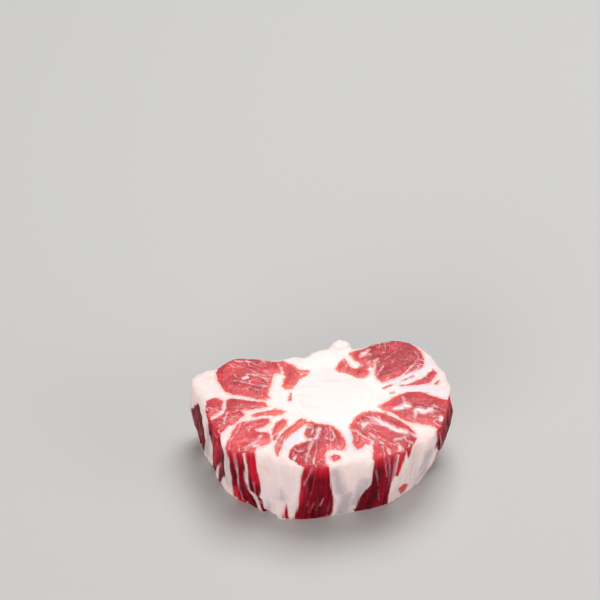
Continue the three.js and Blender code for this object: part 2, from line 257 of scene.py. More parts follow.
# Where the muscle on the wall is brighter red
WALL_BRIGHTER_RED = (
    (2.6, 2.6, ((56.6, 38), (57.6, 28), (58.8, 20))),
    (2.2, 2.8, ((48, 12), (47.6, 1))),
    (3.6, 1.6, ((87.6, 39), (86.4, 33))),
    (1.0, 0.8, ((80.4, 36), (78.9, 24), (77.8, 13))),
    (1.2, 1.2, ((33.4, 32), (32.6, 20), (28.6, 9))),
    (0.8, 0.8, ((38.6, 30), (39, 20))),
    (0.8, 1.4, ((72.4, 9), (72.2, 0))),
    (2.4, 1.0, ((122.4, 38), (121, 24))),
    (4.4, 1.6, ((112.4, 39), (112, 34))),
    (5, 2, ((127, 39), (126, 33))),
    (3, 1, ((28, 38), (31, 34))),
    (2, 2, ((199.6, 38), (198.6, 26), (196.4, 12))),
    (3, 1, ((216, 39), (215, 32))),
    (2.4, 2, ((289, 38), (287.6, 28))),
    (2, 2.4, ((268, 18), (264, 4))),
)

# Where the fat of the wall is bluish grey, partly lilac stripes in the fat and partly painted shade in its hollows, and
# where it is a warmer, peach white
WALL_GREY_AND_SHADE = (
    (3.0, 4.4, ((92.8, 34), (93.8, 28), (95.4, 20))),
    (3.6, 5.4, ((106.4, 25), (104.8, 17), (102.6, 10))),
    (5, 7, ((98.4, 17), (97.6, 9), (97, 2))),
    (2, 3, ((66, 10), (65, 5))),
    (1.4, 2.4, ((45.2, 32), (45.3, 22), (44.8, 14))),
    (0.9, 1.4, ((54.2, 25), (53.6, 19), (54.8, 13.5))),
    (1.0, 1.2, ((57.2, 10), (57.8, 3))),
    (2, 3, ((138, 28), (139.4, 18), (140, 8))),
    (4, 4, ((26.4, 28), (25, 20), (20, 9))),
    (1, 2.4, ((70.6, 20), (71, 15))),
    (0.4, 1.4, ((178, 24), (179, 8))),
    (0.4, 2, ((220.6, 32), (220.6, 10))),
    (0.4, 2, ((264.4, 24), (261, 4))),
)
WALL_PEACH = (
    (2.6, 2.6, ((98.6, 35.4), (99.8, 34.8))),
    (1.2, 1.2, ((98, 30), (98.2, 29.4))),
    (2.4, 1.2, ((103.4, 33), (103.8, 26))),
    (3, 1, ((62, 31), (66, 28))),
    (3, 2, ((131, 37), (133, 30))),
    (2, 1, ((233, 36), (234, 31))),
)

# How far the fibres at the foot lie round the rim from where they leave the cut face: degrees, millimetres
WINDING = (
    (0, 0), (160, 0), (176, -5), (190, -8), (205, -4), (213, 0), (218, 2), (224, 4.5), (230, 3), (243, -1),
    (253, -4.5), (260, -3.5), (270, -1), (283, -2), (293, -4.5), (300, -2), (306, 0.5), (312, 0), (330, 3),
    (345, 2), (360, 0),
)

# How pale each muscle looks against the others, from -1, dark, to 1, pale
TONES = {
    "lean_back_left": -0.4,
    "lean_back_right": -0.6,
    "lean_back_right_inner": -0.3,
    "lean_front_centre": -0.8,
    "lean_front_left": 1.2,
    "lean_front_left_wedge": 0.4,
    "lean_left": -1.0,
    "lean_left_edge": -0.3,
    "lean_left_strand": 0.4,
}


def linear(hexadecimal):
    """An sRGB hex colour as the linear red, green, blue and alpha that Blender takes."""
    channels = [int(hexadecimal[i : i + 2], 16) / 255 for i in (1, 3, 5)]
    return [c / 12.92 if c <= 0.04045 else ((c + 0.055) / 1.055) ** 2.4 for c in channels] + [1]


class OxtailFlesh(bpy.types.PropertyGroup):
    """Sizes and colours of the muscles and the fat."""

    grid: bpy.props.FloatProperty(
        name="Surface grid",
        description="Spacing of the surface's points on the sides; the cut face has half of it",
        default=0.72 * MM,
        unit="LENGTH",
    )
    rim: bpy.props.FloatProperty(
        name="Rim",
        description="Radius of the rounded edge between the cut face and the sides",
        default=1.7 * MM,
        unit="LENGTH",
    )
    lean_rise: bpy.props.FloatProperty(
        name="Rise of the lean",
        description="How far the middle of a muscle swells above the cut face",
        default=0.55 * MM,
        unit="LENGTH",
    )
    fat_lumps: bpy.props.FloatProperty(
        name="Lumps in the fat",
        description="Height of the soft lumps in the fat of the sides",
        default=1.1 * MM,
        unit="LENGTH",
    )
    fibre_ridges: bpy.props.FloatProperty(
        name="Fibre ridges",
        description="Height of the ridges that the muscle fibres make on the sides",
        default=0.5 * MM,
        unit="LENGTH",
    )
    lean_colour: bpy.props.FloatVectorProperty(
        name="Lean",
        description="Freshly cut muscle",
        default=linear("#D4424B"),
        size=4,
        subtype="COLOR",
    )
    lean_bright: bpy.props.FloatVectorProperty(
        name="Bright lean",
        description="The brightest parts of freshly cut muscle, most of them at its edge",
        default=linear("#F0686A"),
        size=4,
        subtype="COLOR",
    )
    lean_deep: bpy.props.FloatVectorProperty(
        name="Deep lean",
        description="The darker parts of freshly cut muscle",
        default=linear("#AC303D"),
        size=4,
        subtype="COLOR",
    )
    lean_side: bpy.props.FloatVectorProperty(
        name="Lean on the sides",
        description="Muscle that was not cut, under its skin",
        default=linear("#8C031C"),
        size=4,
        subtype="COLOR",
    )
    fat_colour: bpy.props.FloatVectorProperty(
        name="Fat",
        description="Sawn fat",
        default=linear("#F7E3DE"),
        size=4,
        subtype="COLOR",
    )
    fat_side: bpy.props.FloatVectorProperty(
        name="Fat on the sides",
        description="Fat that was not cut",
        default=linear("#F0DAD7"),
        size=4,
        subtype="COLOR",
    )


class OxtailBone(bpy.types.PropertyGroup):
    """Sizes and colours of the vertebra."""

    dome: bpy.props.FloatProperty(
        name="Dome",
        description="How far the disc of cartilage swells above the cut face",
        default=0.45 * MM,
        unit="LENGTH",
    )
    lip: bpy.props.FloatProperty(
        name="Lip",
        description="How far the sawn disc reaches over the fat round it, so that no groove shows",
        default=2.8 * MM,
        unit="LENGTH",
    )
    colour: bpy.props.FloatVectorProperty(
        name="Cartilage",
        description="Sawn cartilage and bone",
        default=linear("#F4E9E6"),
        size=4,
        subtype="COLOR",
    )
    edge_colour: bpy.props.FloatVectorProperty(
        name="Edge",
        description="The disc's edge, where it passes into fat",
        default=linear("#F6EEEA"),
        size=4,
        subtype="COLOR",
    )


# Object and mesh helpers


def deselect_all():
    """Leaves nothing selected and nothing active."""
    bpy.ops.object.select_all(action="DESELECT")
    bpy.context.view_layer.objects.active = None


def activate(piece):
    """Makes a piece the only selected object."""
    deselect_all()
    piece.select_set(True)
    bpy.context.view_layer.objects.active = piece


def merged_copy(node, swell):
    """A copy of a CAD node with its triangles merged into one skin, moved outwards by swell."""
    piece = bpy.data.objects.new("copy_of_" + node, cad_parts[node].data.copy())
    bpy.context.collection.objects.link(piece)
    piece.data.materials.clear()
    activate(piece)
    bpy.ops.object.mode_set(mode="EDIT")
    bpy.ops.mesh.select_all(action="SELECT")
    bpy.ops.mesh.remove_doubles(threshold=1e-6)
    bpy.ops.transform.shrink_fatten(value=swell)
    bpy.ops.object.mode_set(mode="OBJECT")
    return piece


def remesh(piece, size):
    """Rebuilds a piece's surface as one even skin of squares."""
    activate(piece)
    modifier = piece.modifiers.new("Even skin", "REMESH")
    modifier.mode = "VOXEL"
    modifier.voxel_size = size
    bpy.ops.object.modifier_apply(modifier=modifier.name)


def select_faces(piece, wanted):
    """Selects the faces whose centre and normal, in millimetres, pass the test, and opens edit mode on them."""
    activate(piece)
    bpy.ops.object.mode_set(mode="EDIT")
    bpy.ops.mesh.select_all(action="DESELECT")
    bpy.ops.mesh.select_mode(type="FACE")
    bpy.ops.object.mode_set(mode="OBJECT")
    for face in piece.data.polygons:
        face.select = wanted(face.center / MM, face.normal)
    bpy.ops.object.mode_set(mode="EDIT")


def read(piece, what, count):
    """One of a mesh's per-vertex values as an array."""
    values = np.zeros(len(piece.data.vertices) * count)
    piece.data.vertices.foreach_get(what, values)
    return values.reshape(-1, count)


def write_attribute(piece, name, values):
    """Stores one number, or a vector, for each vertex."""
    kind = "FLOAT" if values.ndim == 1 else "FLOAT_VECTOR"
    attribute = piece.data.attributes.new(name, kind, "POINT")
    key = "value" if values.ndim == 1 else "vector"
    attribute.data.foreach_set(key, values.astype(np.float32).ravel())


def smooth_step(low, high, values):
    """0 below low, 1 above high, and an even curve between."""
    t = np.clip((values - low) / (high - low), 0, 1)
    return t * t * (3 - 2 * t)


def noise_at(points, size, seed=0.0):
    """Perlin noise from about -1 to 1 at points in millimetres, with lumps of the given size on each axis."""
    scaled = points / np.asarray(size) + seed
    return np.array([noise.noise(Vector(p)) for p in scaled.tolist()])


def from_bone(points):
    """Distance from the bone's axis in the cut face's plane, measured so that the oval bone is a circle."""
    return np.hypot(points[:, 0] - BONE_X, (points[:, 1] - BONE_Y) * BONE_STRETCH)


def distance_to_lines(points, lines):
    """Distance in the cut face's plane from each point to the nearest line's edge, less than 0 inside it."""
    nearest = np.full(len(points), 99.0)
    for first, last, places in lines:
        widths = np.linspace(first, last, len(places))
        for i, (start, end) in enumerate(zip(places, places[1:])):
            start, end = np.array(start), np.array(end)
            along = end - start
            share = np.clip(((points - start) @ along) / (along @ along), 0, 1)
            gap = np.linalg.norm(points - start - share[:, None] * along, axis=1)
            half = (widths[i] + share * (widths[i + 1] - widths[i])) / 2
            nearest = np.minimum(nearest, gap - half)
    return nearest


# Where a point of the slice lies among its tissues


class Anatomy:
    """The borders of the muscles, read from the CAD solids."""

    def __init__(self):
        self.owners = []
        corners, triangles = [], []
        for name in MUSCLES:
            self._collect(name, corners, triangles)
            self.owners += [name] * (len(triangles) - len(self.owners))
        self.muscles = BVHTree.FromPolygons(corners, triangles)
        corners, triangles = [], []
        self._collect("fat", corners, triangles)
        borders = []
        for triangle in triangles:
            a, b, c = (corners[i] for i in triangle)
            outward = (b - a).cross(c - a).normalized()
            if self.owner((a + b + c) / 3 + 0.6 * outward):
                borders.append(triangle)
        self.borders = BVHTree.FromPolygons(corners, borders)

    @staticmethod
    def _collect(name, corners, triangles):
        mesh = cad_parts[name].data
        first = len(corners)
        corners += [vertex.co / MM for vertex in mesh.vertices]
        triangles += [[first + i for i in face.vertices] for face in mesh.polygons]

    def owner(self, point):
        """The muscle that the point lies inside, or None: a line up from there leaves it first."""
        _, normal, index, _ = self.muscles.ray_cast(point, UPWARDS)
        return self.owners[index] if index is not None and normal.dot(UPWARDS) > 0 else None

    def read(self, points, normals, below):
        """Distance from just below each surface point to the border, above 0 inside a muscle, and its tone."""
        depth, tone = np.zeros(len(points)), np.zeros(len(points))
        for i, point in enumerate((points - below * normals).tolist()):
            gap = self.borders.find_nearest(point)[3]
            owner = self.owner(Vector(point))
            depth[i] = gap if owner else -gap
            tone[i] = TONES.get(owner, 0)
        return depth, tone


class Wall:
    """The slice's side: how far it lies from the bone's axis, by height and by angle round the axis."""

    def __init__(self, piece):
        skin = BVHTree.FromObject(piece, bpy.context.evaluated_depsgraph_get())
        self.levels = np.linspace(2, THICKNESS - 2, 9)
        self.reach = np.zeros((len(self.levels), WALL_STEPS + 1))
        far = 120
        for row, z in enumerate(self.levels):
            for column in range(WALL_STEPS + 1):
                turn = 2 * math.pi * column / WALL_STEPS
                away = Vector((math.cos(turn), math.sin(turn), 0))
                start = (Vector((BONE_X, BONE_Y, z)) + far * away) * MM
                self.reach[row, column] = far - skin.ray_cast(start, -away)[3] / MM
        turns = np.linspace(0, 2 * math.pi, WALL_STEPS + 1)
        rim = self.reach[-1, :, None] * np.stack([np.cos(turns), np.sin(turns)], axis=1)
        self.turns = turns
        self.along = np.concatenate([[0], np.cumsum(np.linalg.norm(np.diff(rim, axis=0), axis=1))])

    def at(self, turn, height):
        """The wall's distance from the bone's axis."""
        column = turn / (2 * math.pi) * WALL_STEPS
        row = (np.clip(height, self.levels[0], self.levels[-1]) - self.levels[0]) / (self.levels[1] - self.levels[0])
        low_row = np.minimum(row.astype(int), len(self.levels) - 2)
        low_column = np.minimum(column.astype(int), WALL_STEPS - 1)
        row_share, column_share = row - low_row, column - low_column

        def ring(rows):
            return self.reach[rows, low_column] * (1 - column_share) + self.reach[rows, low_column + 1] * column_share

        return ring(low_row) * (1 - row_share) + ring(low_row + 1) * row_share

    def unrolled(self, points):
        """Each point's distance round the rim from the left corner, through the front, and its height."""
        turn = np.arctan2(points[:, 1] - BONE_Y, points[:, 0] - BONE_X) % (2 * math.pi)
        start = np.interp(LEFT_CORNER, self.turns, self.along)
        return np.stack(
            [(np.interp(turn, self.turns, self.along) - start) % self.along[-1], points[:, 2]], axis=1
        )

    def section(self, points):
        """Each point followed along the tail's fibres up to the cut face: x and y there, and its own height."""
        x, y = points[:, 0] - BONE_X, points[:, 1] - BONE_Y
        radius = np.hypot(x, y)
        turn = np.arctan2(y, x) % (2 * math.pi)
        here = self.at(turn, points[:, 2])
        above = self.at(turn, np.full(len(points), THICKNESS))
        outside = np.maximum(radius - BONE_RADIUS, 0)
        carried = radius + outside * ((above - BONE_RADIUS) / (here - BONE_RADIUS) - 1)
        degrees, drifts = zip(*WINDING)
        drift = np.interp(np.degrees(turn), degrees, drifts) * (1 - points[:, 2] / THICKNESS)
        turn = turn - drift / np.maximum(radius, BONE_RADIUS) * np.clip(outside / 12, 0, 1)
        return np.stack(
            [BONE_X + carried * np.cos(turn), BONE_Y + carried * np.sin(turn), points[:, 2]], axis=1
        )


# The pieces


def build_flesh(settings):
    """The muscles and the fat as one continuous skin, because nothing parts them in the real slice."""
    copies = [merged_copy(name, 0.2 * MM) for name in MUSCLES]
    flesh = merged_copy("fat", 0.15 * MM)
    for piece in copies:
        piece.select_set(True)
    bpy.ops.object.join()
    flesh.name = flesh.data.name = "flesh"
    remesh(flesh, settings.grid)

    activate(flesh)
    bpy.ops.object.mode_set(mode="EDIT")
    bpy.ops.mesh.select_all(action="SELECT")
    bpy.ops.mesh.vertices_smooth(factor=0.5, repeat=3)
    bpy.ops.object.mode_set(mode="OBJECT")

    def hidden(centre, normal):
        in_socket = math.hypot(centre.x - BONE_X, centre.y - BONE_Y) < BONE_RADIUS + 1 and abs(normal.z) < 0.5
        return (in_socket and 2 < centre.z < THICKNESS - 2) or (centre.z < 0.4 and normal.z < -0.9)

    select_faces(flesh, hidden)
    bpy.ops.mesh.decimate(ratio=0.12)
    bpy.ops.object.mode_set(mode="OBJECT")
    select_faces(flesh, lambda centre, normal: centre.z > THICKNESS - 1.6)
    bpy.ops.mesh.subdivide(number_cuts=1, smoothness=0)
    bpy.ops.object.mode_set(mode="OBJECT")
    return flesh


def form_wall(flesh, wall, fatty, settings):
    """Rounds the cut face's rim, most where it is fat, and draws the wall in at its lower right."""
    points = read(flesh, "co", 3) / MM
    rim, height = wall.unrolled(points).T
    outward = points[:, :2] - (BONE_X, BONE_Y)
    radius = np.linalg.norm(outward, axis=1)
    outward /= radius[:, None]
    turn = np.arctan2(outward[:, 1], outward[:, 0]) % (2 * math.pi)
    share = radius / wall.at(turn, height)
    low = smooth_step(0, 25, THICKNESS - 1 - 15 * smooth_step(136, 146, rim) - height)
    taper = 3.1 * smooth_step(118, 148, rim) * smooth_step(-190, -166, -rim) * low
    swell = 1.7 * np.exp(-(((height - 19) / 9) ** 2)) * (smooth_step(-15, -3, -rim) + smooth_step(285, 297, rim))
    swell += 1.2 * np.exp(-(((height - 25) / 7) ** 2)) * smooth_step(140, 148, rim) * smooth_step(-178, -168, -rim)
    torn = 3 * smooth_step(61.5, 63, rim) * smooth_step(-69.2, -68, -rim)
    torn += 1.8 * smooth_step(31, 37, rim) * smooth_step(-57, -50, -rim)
    shift = (swell - taper - torn * smooth_step(-4.8, -3, -height)) * smooth_step(0.5, 1, share)
    moved = points.copy()
    moved[:, :2] += outward * shift[:, None]

    round_off = settings.rim / MM * (1 + 1.6 * fatty)
    inward = round_off - (wall.at(turn, np.full(len(turn), THICKNESS)) - radius)
    upward = round_off - (THICKNESS - height)
    corner = np.maximum(np.hypot(inward, upward), round_off)
    pull = np.where((inward > 0) & (upward > 0) & (radius > BONE_RADIUS + 6), 1 - round_off / corner, 0)
    moved[:, :2] -= outward * (inward * pull)[:, None]
    moved[:, 2] -= upward * pull
    flesh.data.vertices.foreach_set("co", (moved * MM).ravel())
    flesh.data.update()
    return moved


def shape_flesh(flesh, settings):
    """Gives the skin its relief, and stores where each point lies among the tissues."""
    points, normals = read(flesh, "co", 3) / MM, read(flesh, "normal", 3)
    height = points[:, 2]
    wall = Wall(flesh)
    section, unrolled = wall.section(points), wall.unrolled(points)
    on_top = height > THICKNESS - 3
    sawn = (np.abs(normals[:, 2]) > 0.3) & (on_top | (height < 1.5))
    depth_cut, tone_cut = np.zeros(len(points)), np.zeros(len(points))
    depth_cut[sawn], tone_cut[sawn] = Anatomy().read(points[sawn], normals[sawn], 0.9)

    wander = 0.6 * noise_at(section, (2, 2, 20), 31) + 0.3 * noise_at(section, (0.9, 0.9, 7), 33)
    unrolled += np.stack([wander, np.zeros(len(points))], axis=1)
    depth = -distance_to_lines(unrolled, WALL_LEAN)
    at_rim = np.stack([unrolled[:, 0], np.full(len(points), THICKNESS - 2)], axis=1)
    in_front = smooth_step(6, 10, unrolled[:, 0]) * smooth_step(-138, -134, -unrolled[:, 0])
    fatty = smooth_step(0, 4, distance_to_lines(at_rim, WALL_LEAN)) * in_front
    moved = form_wall(flesh, wall, fatty, settings)
    normals = read(flesh, "normal", 3)
    slope = np.abs(normals[:, 2]) + 0.1 * noise_at(section, 2.4, 77)
    cut = smooth_step(0.45, 0.9, slope) * sawn

    wander = [
        0.4 * noise_at(section, (3.4, 3.4, 30), seed) + 0.3 * noise_at(section, (1.2, 1.2, 12), seed)
        for seed in (21, 42)
    ]
    flat = section[:, :2] + np.stack(wander, axis=1)
    seams_cut = distance_to_lines(flat, SEAMS) + 0.12
    clouds = 0.6 * distance_to_lines(flat, CLOUDS)
    tendon_and_shade = distance_to_lines(flat, TENDONS)
    depth_cut = np.maximum(depth_cut, -distance_to_lines(flat, THREADS))

    scraps = distance_to_lines(unrolled, WALL_SCRAPS)
    depth = np.maximum(depth, -scraps)
    tone = np.where(scraps < 0.8, 2, 0)
    seams = distance_to_lines(unrolled, WALL_SEAMS) + 0.15 * noise_at(section, (1.5, 1.5, 14), 5)
    brighter_red = smooth_step(-2.2, 1.2, 0.5 * noise_at(section, (1.5, 1.5, 9), 23) - distance_to_lines(unrolled, WALL_BRIGHTER_RED))
    # Painted shade: bluish grey on the wall's fat, most of it where its hollows would be shaded
    grey_and_shade = distance_to_lines(unrolled, WALL_GREY_AND_SHADE) + 1.3 * noise_at(section, (3, 3, 7), 17)
    peach = distance_to_lines(unrolled, WALL_PEACH) + 1.3 * noise_at(section, (3, 3, 7), 19)

    depth = depth * (1 - cut) + depth_cut * cut
    tone = np.where(cut > 0.5, tone_cut, tone)
    seams = seams * (1 - cut) + seams_cut * cut
    clouds = 9 * (1 - cut) + clouds * cut
    tendon_and_shade = np.where(cut > 0.5, tendon_and_shade, grey_and_shade)

    from_axis = section - (BONE_X, BONE_Y, 0)
    radius = np.hypot(from_axis[:, 0], from_axis[:, 1])
    spokes = np.stack(
        [34 * from_axis[:, 0] / radius, 34 * from_axis[:, 1] / radius, 0.28 * radius + 0.08 * height], axis=1
    )

    fibres = section * (1, 1, 0.09)
    lean = smooth_step(-0.4, 1.2, depth)
    swell = settings.lean_rise / MM * smooth_step(0.2, 3.2, depth)
    crease = -0.28 * np.exp(-((depth / 0.55) ** 2))
    seam = -0.16 * np.exp(-((np.maximum(seams, 0) / 0.45) ** 2)) * lean
    on_cut = (
        swell + crease + seam
        + 0.3 * noise_at(section, 21)
        + (1 - lean) * (0.28 * noise_at(fibres, 5.5, 3) + 0.1 * noise_at(fibres, 1.7, 7))
        + lean * (0.14 * noise_at(fibres, 2.6, 11) + 0.1 * noise_at(spokes, 0.9, 5))
        + 0.4 * smooth_step(THICKNESS + 0.3, THICKNESS + 0.9, height) * noise_at(section, 3.5, 9)
    )
    on_cut *= smooth_step(BONE_RADIUS + 1.8, BONE_RADIUS + 5, from_bone(points))
    lumps = settings.fat_lumps / MM
    ridges = settings.fibre_ridges / MM
    folds = np.exp(-((noise_at(section, (2.6, 2.6, 26), 6) / 0.16) ** 2))
    on_side = (
        0.6 * noise_at(section, (17, 17, 22), 2)
        + (1 - lean) * lumps * (0.8 * noise_at(section, (5.5, 5.5, 10), 8) + 0.35 * noise_at(section, (2, 2, 6), 4))
        + lean * ridges * (noise_at(section, (1.9, 1.9, 20), 1) - 1.1 * folds - 0.4)
        + 0.14 * noise_at(section, 1.6, 12)
        - 0.22 * np.exp(-((depth / 0.7) ** 2))
        - 0.3 * np.exp(-((np.maximum(seams, 0) / 0.5) ** 2)) * lean
    )
    foot = 1 - smooth_step(0.5, 4, height)
    on_side = on_side * (1 - 0.6 * foot) - foot * np.maximum(1.7 * noise_at(section, (2, 2, 3), 14), 0)
    lift = cut * on_cut + (1 - cut) * on_side
    lift = np.where((normals[:, 2] < -0.6) | (from_bone(points) < BONE_RADIUS + 0.6), 0, lift)
    moved = moved + lift[:, None] * normals
    knob = moved[:, 2] - THICKNESS - 0.35
    headroom = 1.35 + 0.9 * noise_at(section, 3.2, 15) - knob
    squarer = np.clip((0.3 + 0.7 * smooth_step(7, 11, points[:, 0])) * knob, 0, np.maximum(headroom, 0))
    moved[:, 2] += np.where((points[:, 1] > 24) & (knob > 0), squarer, 0)
    moved[:, 2] = np.maximum(moved[:, 2], 0)
    under_lip = (from_bone(moved) < BONE_RADIUS + 2.3) & (height > THICKNESS - 0.8)
    moved[under_lip, 2] = THICKNESS + 0.15
    over_foot = (from_bone(moved) < BONE_RADIUS + 0.8) & (height < 0.9)
    moved[over_foot, 2] = 0.08
    flesh.data.vertices.foreach_set("co", (moved * MM).ravel())
    flesh.data.update()

    write_attribute(flesh, "section", section)
    write_attribute(flesh, "spokes", spokes)
    write_attribute(flesh, "lean", depth)
    write_attribute(flesh, "tone", tone)
    write_attribute(flesh, "seams", seams)
    write_attribute(flesh, "clouds", clouds)
    write_attribute(flesh, "tendon_and_shade", tendon_and_shade)
    write_attribute(flesh, "peach", peach)
    write_attribute(flesh, "brighter_red", brighter_red)
    write_attribute(flesh, "cut", cut)


def finish_piece(piece, material, slot, *nodes):
    """Shades a piece smoothly, gives it its material, and sets it in the frame."""
    activate(piece)
    bpy.ops.object.shade_smooth()
    piece.data.materials.clear()
    piece.data.materials.append(material)
    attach(piece, "root")
    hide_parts(*nodes)
    deselect_all()


# Materials


def add(tree, kind, inputs=(), output=0, **settings):
    """Adds a node with its settings; an input is a value or another node's output. Returns one output."""
    node = tree.nodes.new(kind)
    for name, value in settings.items():
        setattr(node, name, value)
    for name, value in dict(inputs).items():
        if isinstance(value, bpy.types.NodeSocket):
            tree.links.new(value, node.inputs[name])
        else:
            node.inputs[name].default_value = value
    return node.outputs[output] if node.outputs else None


def new_material(name):
    """An empty node material and its tree."""
    material = bpy.data.materials.new(name)
    material.use_nodes = True
    material.node_tree.nodes.clear()
    return material, material.node_tree


def raw_beef(settings):
    """Raw beef: moist red muscle with white fat, sawn across the fibres, so streaky only on the sides."""
    material, tree = new_material("raw beef, muscle and fat")
    section = add(tree, "ShaderNodeAttribute", output="Vector", attribute_name="section")
    spokes = add(tree, "ShaderNodeAttribute", output="Vector", attribute_name="spokes")
    depth = add(tree, "ShaderNodeAttribute", output="Fac", attribute_name="lean")
    seams = add(tree, "ShaderNodeAttribute", output="Fac", attribute_name="seams")
    masses = add(tree, "ShaderNodeAttribute", output="Fac", attribute_name="clouds")
    tendon_and_shade = add(tree, "ShaderNodeAttribute", output="Fac", attribute_name="tendon_and_shade")
    tone = add(tree, "ShaderNodeAttribute", output="Fac", attribute_name="tone")
    cut = add(tree, "ShaderNodeAttribute", output="Fac", attribute_name="cut")
    brighter_red_places = add(tree, "ShaderNodeAttribute", output="Fac", attribute_name="brighter_red")
    peach = add(tree, "ShaderNodeAttribute", output="Fac", attribute_name="peach")
    height = add(tree, "ShaderNodeSeparateXYZ", {0: section}, output="Z")
    fibres = add(tree, "ShaderNodeMapping", {"Vector": section, "Scale": (1, 1, 0.08)})
    threads = add(tree, "ShaderNodeMapping", {"Vector": section, "Scale": (1, 1, 0.035)})

    # Where muscle meets fat, feathered and in places combed outwards from the bone
    feather = add(
        tree, "ShaderNodeTexNoise", {"Vector": fibres, "Scale": 1 / 1.8, "Detail": 3.0, "Roughness": 0.65}
    )
    comb = add(
        tree, "ShaderNodeTexNoise", {"Vector": spokes, "Scale": 1 / 1.3, "Detail": 2.0, "Roughness": 0.5}
    )
    feather = add(tree, "ShaderNodeMath", {0: feather, 1: comb}, operation="ADD")
    feather = add(
        tree,
        "ShaderNodeMapRange",
        {"Value": feather, "From Min": 0.6, "From Max": 1.4, "To Min": -0.65, "To Max": 0.65},
    )
    muscle = add(tree, "ShaderNodeMath", {0: depth, 1: feather}, operation="ADD")
    sharp = add(tree, "ShaderNodeMapRange", {"Value": cut, "To Min": 0.85, "To Max": 1.0})
    muscle = add(tree, "ShaderNodeMath", {0: muscle, 1: sharp}, operation="MULTIPLY")
    muscle = add(
        tree,
        "ShaderNodeMapRange",
        {"Value": muscle, "From Min": -0.45, "From Max": 0.45},
        interpolation_type="SMOOTHSTEP",
    )
    sheets = add(tree, "ShaderNodeMath", {0: feather, 1: 0.7, 2: seams}, operation="MULTIPLY_ADD")
    masses = add(tree, "ShaderNodeMath", {0: feather, 1: 0.75, 2: masses}, operation="MULTIPLY_ADD")
    sheets = add(tree, "ShaderNodeMath", {0: sheets, 1: masses}, operation="MINIMUM")
    # Painted shade: the red darkens a little beside the seams, as if they lay in shaded creases
    painted_seam_shade = add(
        tree,
        "ShaderNodeMapRange",
        {"Value": sheets, "From Min": 0.3, "From Max": 1.6, "To Min": -0.1, "To Max": 0.0},
        interpolation_type="SMOOTHSTEP",
    )
    whiter = add(
        tree,
        "ShaderNodeMapRange",
        {"Value": sheets, "From Min": 0.15, "From Max": -0.75},
        interpolation_type="SMOOTHSTEP",
    )
    sheets = add(
        tree,
        "ShaderNodeMapRange",
        {"Value": sheets, "From Min": 0.5, "From Max": -0.3, "To Max": 0.95},
        interpolation_type="SMOOTHSTEP",
    )

    # Marbling: thin pale lines that run out from the bone, only in places
    veins = add(
        tree,
        "ShaderNodeTexNoise",
        {"Vector": spokes, "Scale": 1 / 3.2, "Detail": 2.0, "Roughness": 0.5, "Distortion": 0.3},
    )
    veins = add(tree, "ShaderNodeMath", {0: veins, 1: 0.5}, operation="SUBTRACT")
    veins = add(tree, "ShaderNodeMath", {0: veins}, operation="ABSOLUTE")
    veins = add(
        tree,
        "ShaderNodeMapRange",
        {"Value": veins, "From Min": 0.024, "From Max": 0.004},
        interpolation_type="SMOOTHSTEP",
    )
    places = add(tree, "ShaderNodeTexNoise", {"Vector": fibres, "Scale": 1 / 7, "Detail": 1.0})
    places = add(
        tree,
        "ShaderNodeMapRange",
        {"Value": places, "From Min": 0.42, "From Max": 0.62, "To Max": 0.7},
        interpolation_type="SMOOTHSTEP",
    )
    veins = add(tree, "ShaderNodeMath", {0: veins, 1: places}, operation="MULTIPLY")
    fewer = add(tree, "ShaderNodeMapRange", {"Value": cut, "To Min": 0.1, "To Max": 1.0})
    veins = add(tree, "ShaderNodeMath", {0: veins, 1: fewer}, operation="MULTIPLY")

    # Flecks of fat about 1 mm across between the bundles of fibres
    flecks = add(
        tree, "ShaderNodeTexNoise", {"Vector": fibres, "Scale": 1 / 0.85, "Detail": 2.0, "Roughness": 0.6}
    )
    flecks = add(
        tree,
        "ShaderNodeMapRange",
        {"Value": flecks, "From Min": 0.56, "From Max": 0.72, "To Max": 0.5},
        interpolation_type="SMOOTHSTEP",
    )
    bundles = add(
        tree, "ShaderNodeTexVoronoi", {"Vector": fibres, "Scale": 1 / 1.3}, feature="DISTANCE_TO_EDGE"
    )
    bundles = add(
        tree,
        "ShaderNodeMapRange",
        {"Value": bundles, "From Min": 0.16, "From Max": 0.02, "To Max": 0.15},
        interpolation_type="SMOOTHSTEP",
    )
    pale = add(tree, "ShaderNodeMath", {0: flecks, 1: bundles}, operation="MAXIMUM")

    # Muscle: patchy red, brighter at its edge, with painted shade beside the seams, and a darker crimson where it was
    # not cut
    outward = add(tree, "ShaderNodeSeparateXYZ", {0: spokes}, output="Z")
    outward = add(
        tree,
        "ShaderNodeMapRange",
        {"Value": outward, "From Min": 8.5, "From Max": 14.0},
        interpolation_type="SMOOTHSTEP",
    )
    mottle = add(
        tree, "ShaderNodeTexNoise", {"Vector": fibres, "Scale": 1 / 1.8, "Detail": 4.0, "Roughness": 0.7}
    )
    clouds = add(tree, "ShaderNodeTexNoise", {"Vector": fibres, "Scale": 1 / 9.0, "Detail": 2.0})
    shade = add(tree, "ShaderNodeMath", {0: clouds, 1: mottle}, operation="ADD")
    shade = add(tree, "ShaderNodeMath", {0: tone, 1: 0.16, 2: shade}, operation="MULTIPLY_ADD")
    rim = add(
        tree,
        "ShaderNodeMapRange",
        {"Value": depth, "From Min": 3.4, "From Max": 0.4, "To Min": -0.07, "To Max": 0.08},
        interpolation_type="SMOOTHSTEP",
    )
    shade = add(tree, "ShaderNodeMath", {0: shade, 1: rim}, operation="ADD")
    shade = add(tree, "ShaderNodeMath", {0: shade, 1: painted_seam_shade}, operation="ADD")
    middling = add(
        tree,
        "ShaderNodeMapRange",
        {"Value": shade, "From Min": 0.7, "From Max": 1.0},
        interpolation_type="SMOOTHSTEP",
    )
    bright = add(
        tree,
        "ShaderNodeMapRange",
        {"Value": shade, "From Min": 1.0, "From Max": 1.3},
        interpolation_type="SMOOTHSTEP",
    )
